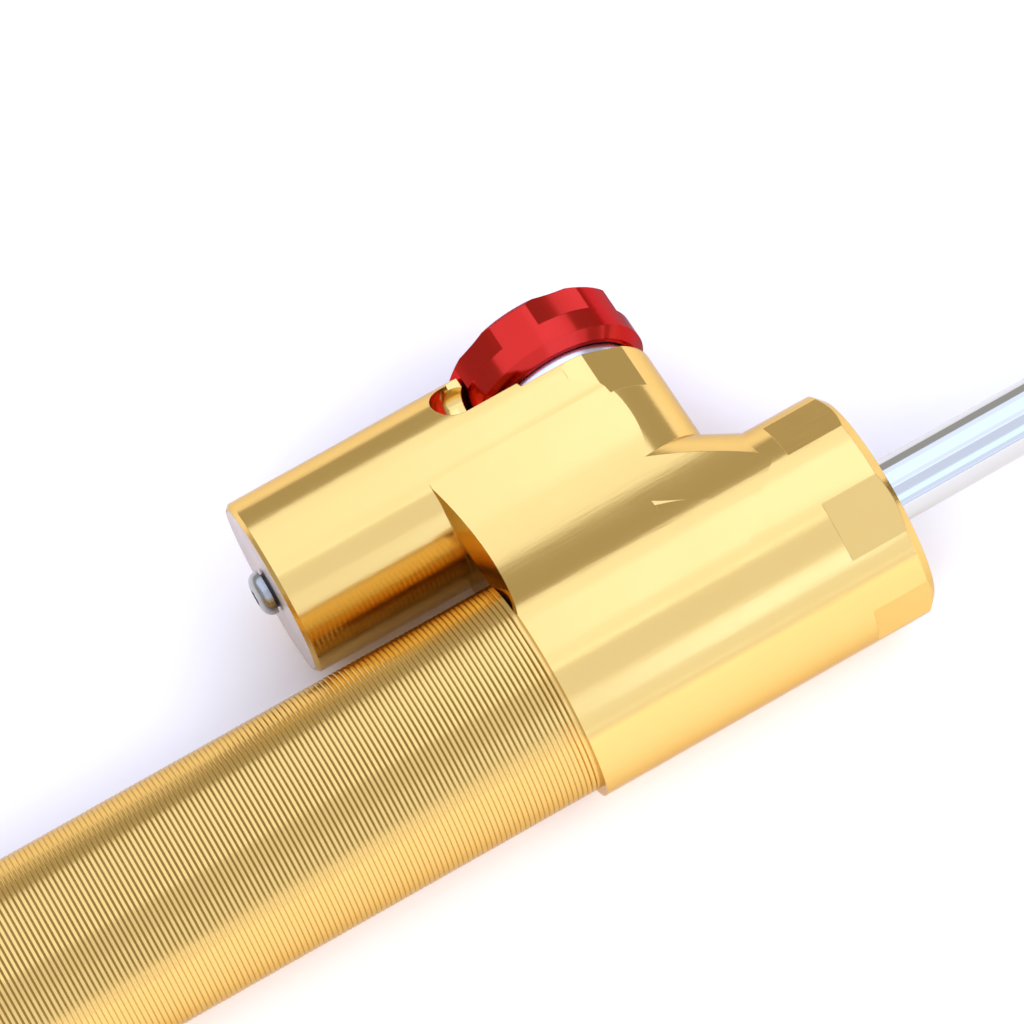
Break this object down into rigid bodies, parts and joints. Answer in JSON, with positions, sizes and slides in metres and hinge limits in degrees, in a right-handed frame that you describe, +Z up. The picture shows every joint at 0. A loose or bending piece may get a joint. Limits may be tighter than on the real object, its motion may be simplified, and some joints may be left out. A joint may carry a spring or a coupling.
{
  "type": "steering damper",
  "caption": "Hydraulic steering damper with a through rod, grooved tube, piggyback reservoir, round click adjuster and spherical rod end.",
  "frame": {"origin": "on the rod axis, half way along the bare tube that the clamp grips", "axes": "+X along the rod towards the rod end, +Y from the rod axis to the adjuster knob, +Z up"},
  "size_m": [0.332, 0.0548, 0.0292],
  "materials": {
    "gold_anodised": "satin gold anodised, fine turned lines",
    "red_anodised": "bright red anodised",
    "bright_aluminium": "natural machined",
    "chrome_rod": "hard chromed and ground",
    "stainless": "stainless, fine machined",
    "spring_steel": "dark spring steel",
    "brass": "machined brass",
    "bronze": "plain bearing bronze",
    "rubber": "black nitrile rubber",
    "wiper_rubber": "dark polyurethane",
    "liner": "low-friction liner"
  },
  "bodies": {
    "housing": {"head_body": "gold_anodised", "end_cap": "gold_anodised", "outer_tube": "gold_anodised", "inner_tube": "bright_aluminium", "tube_orings": "rubber", "cylinder_orings": "rubber", "front_guide_bush": "bronze", "rear_guide_bush": "bronze", "front_rod_seal": "rubber", "rear_rod_seal": "rubber", "gland_washers": "stainless", "front_dust_wiper": "wiper_rubber", "rear_dust_wiper": "wiper_rubber", "front_retaining_ring": "spring_steel", "rear_retaining_ring": "spring_steel", "valve_seat": "brass", "adjuster_collar": "bright_aluminium", "collar_oring": "rubber", "click_springs": "spring_steel", "reservoir_plug": "bright_aluminium", "plug_oring": "rubber", "bleed_washer": "rubber", "bleed_screw": "stainless", "reservoir_spring": "spring_steel"},
    "band": {"piston_band": "liner"},
    "rod": {"piston_rod": "chrome_rod", "damper_piston": "bright_aluminium", "piston_clips": "spring_steel", "piston_oring": "rubber", "jam_nut": "stainless", "rod_end_body": "stainless", "rod_end_race": "bronze"},
    "eye_ball": {"rod_end_ball": "stainless"},
    "needle": {"needle_valve": "stainless", "needle_oring": "rubber", "click_balls": "stainless"},
    "knob": {"adjuster_knob": "red_anodised", "knob_screw": "stainless"},
    "floater": {"floating_piston": "bright_aluminium", "floating_piston_oring": "rubber"}
  },
  "joints": [
    {"name": "rod_stroke", "type": "slide", "parent": "housing", "child": "band", "axis": [1, 0, 0], "range_m": [-0.055, 0.055]},
    {"name": "rod_spin", "type": "hinge", "parent": "band", "child": "rod", "pos_m": [0, 0, 0], "axis": [1, 0, 0], "continuous": true},
    {"name": "ball_tilt", "type": "hinge", "parent": "rod", "child": "eye_ball", "pos_m": [0.18, 0, 0], "axis": [0, 1, 0], "range_deg": [-13, 13]},
    {"name": "needle_travel", "type": "slide", "parent": "housing", "child": "needle", "axis": [0, 1, 0], "range_m": [-0.00066, 0.00066], "deforming": ["click_springs"]},
    {"name": "knob_turn", "type": "hinge", "parent": "needle", "child": "knob", "pos_m": [0.0686, 0.0382, 0], "axis": [0, 1, 0], "range_deg": [-315, 315]},
    {"name": "reservoir_float", "type": "slide", "parent": "housing", "child": "floater", "axis": [1, 0, 0], "range_m": [-0.0035, 0.0035], "deforming": ["reservoir_spring"]}
  ],
  "couplings": [
    {"joint": "needle_travel", "follows": "knob_turn", "m_per_rad": 0.00011937}
  ]
}
